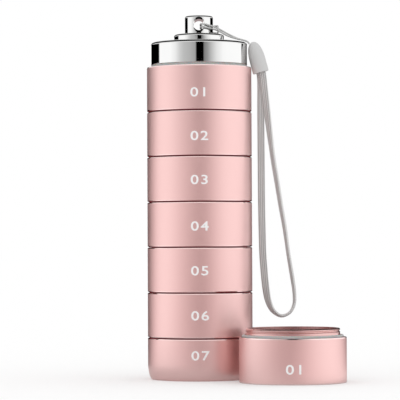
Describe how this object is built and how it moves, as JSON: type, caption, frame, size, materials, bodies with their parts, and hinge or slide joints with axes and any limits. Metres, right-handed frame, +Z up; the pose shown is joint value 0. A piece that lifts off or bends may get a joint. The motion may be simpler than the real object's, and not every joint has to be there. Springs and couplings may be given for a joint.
{
  "type": "stackable pill organizer",
  "caption": "Tower of round aluminium pill cups that screw onto each other, with a screw cap, an eye knob, a wrist lanyard and a spare cup beside it.",
  "frame": {"origin": "centre of the flat underside of the tower's base cup, cup_7", "axes": "+Z up along the tower's axis, -Y towards the picture's camera, +X to the right, where the lanyard hangs"},
  "size_m": [0.0677, 0.0597, 0.1262],
  "materials": {
    "cup_metal": "satin pink anodised",
    "cap_chrome": "mirror",
    "seal_rubber": "translucent white silicone",
    "fastener_steel": "zinc plated",
    "ferrule_rubber": "soft matte grey",
    "lanyard_fabric": "grey woven"
  },
  "bodies": {
    "cup_7": {"cup_7": "cup_metal"},
    "seal_7": {"seal_7": "seal_rubber"},
    "cup_6": {"cup_6": "cup_metal"},
    "seal_6": {"seal_6": "seal_rubber"},
    "cup_5": {"cup_5": "cup_metal"},
    "seal_5": {"seal_5": "seal_rubber"},
    "cup_4": {"cup_4": "cup_metal"},
    "seal_4": {"seal_4": "seal_rubber"},
    "cup_3": {"cup_3": "cup_metal"},
    "seal_3": {"seal_3": "seal_rubber"},
    "cup_2": {"cup_2": "cup_metal"},
    "seal_2": {"seal_2": "seal_rubber"},
    "cup_1": {"cup_1": "cup_metal"},
    "seal_1": {"seal_1": "seal_rubber"},
    "cap": {"cap_shell": "cap_chrome", "cap_collar": "cap_chrome", "eye_knob": "cap_chrome", "knob_screw": "fastener_steel", "knob_washer": "fastener_steel", "lanyard_string": "lanyard_fabric", "lanyard_ferrule": "ferrule_rubber", "lanyard_strap": "lanyard_fabric"},
    "loose_cup": {"loose_cup": "cup_metal", "loose_seal": "seal_rubber"}
  },
  "joints": [
    {"name": "turn_cup_6", "type": "hinge", "parent": "cup_7", "child": "seal_7", "pos_m": [0, 0, 0.01435], "axis": [0, 0, 1], "range_deg": [0, 1080]},
    {"name": "rise_cup_6", "type": "slide", "parent": "seal_7", "child": "cup_6", "axis": [0, 0, 1], "range_m": [0, 0.003]},
    {"name": "turn_cup_5", "type": "hinge", "parent": "cup_6", "child": "seal_6", "pos_m": [0, 0, 0.03], "axis": [0, 0, 1], "range_deg": [0, 1080]},
    {"name": "rise_cup_5", "type": "slide", "parent": "seal_6", "child": "cup_5", "axis": [0, 0, 1], "range_m": [0, 0.003]},
    {"name": "turn_cup_4", "type": "hinge", "parent": "cup_5", "child": "seal_5", "pos_m": [0, 0, 0.04565], "axis": [0, 0, 1], "range_deg": [0, 1080]},
    {"name": "rise_cup_4", "type": "slide", "parent": "seal_5", "child": "cup_4", "axis": [0, 0, 1], "range_m": [0, 0.003]},
    {"name": "turn_cup_3", "type": "hinge", "parent": "cup_4", "child": "seal_4", "pos_m": [0, 0, 0.0613], "axis": [0, 0, 1], "range_deg": [0, 1080]},
    {"name": "rise_cup_3", "type": "slide", "parent": "seal_4", "child": "cup_3", "axis": [0, 0, 1], "range_m": [0, 0.003]},
    {"name": "turn_cup_2", "type": "hinge", "parent": "cup_3", "child": "seal_3", "pos_m": [0, 0, 0.07695], "axis": [0, 0, 1], "range_deg": [0, 1080]},
    {"name": "rise_cup_2", "type": "slide", "parent": "seal_3", "child": "cup_2", "axis": [0, 0, 1], "range_m": [0, 0.003]},
    {"name": "turn_cup_1", "type": "hinge", "parent": "cup_2", "child": "seal_2", "pos_m": [0, 0, 0.0926], "axis": [0, 0, 1], "range_deg": [0, 1080]},
    {"name": "rise_cup_1", "type": "slide", "parent": "seal_2", "child": "cup_1", "axis": [0, 0, 1], "range_m": [0, 0.003]},
    {"name": "turn_cap", "type": "hinge", "parent": "cup_1", "child": "seal_1", "pos_m": [0, 0, 0.10825], "axis": [0, 0, 1], "range_deg": [0, 1080]},
    {"name": "rise_cap", "type": "slide", "parent": "seal_1", "child": "cap", "axis": [0, 0, 1], "range_m": [0, 0.003]},
    {"name": "lift_loose_cup", "type": "slide", "parent": "cup_7", "child": "loose_cup", "axis": [0, 0, 1], "range_m": [0, 0.06]}
  ],
  "couplings": [
    {"joint": "rise_cup_6", "follows": "turn_cup_6", "m_per_rad": 0.00015915},
    {"joint": "rise_cup_5", "follows": "turn_cup_5", "m_per_rad": 0.00015915},
    {"joint": "rise_cup_4", "follows": "turn_cup_4", "m_per_rad": 0.00015915},
    {"joint": "rise_cup_3", "follows": "turn_cup_3", "m_per_rad": 0.00015915},
    {"joint": "rise_cup_2", "follows": "turn_cup_2", "m_per_rad": 0.00015915},
    {"joint": "rise_cup_1", "follows": "turn_cup_1", "m_per_rad": 0.00015915},
    {"joint": "rise_cap", "follows": "turn_cap", "m_per_rad": 0.00015915}
  ]
}
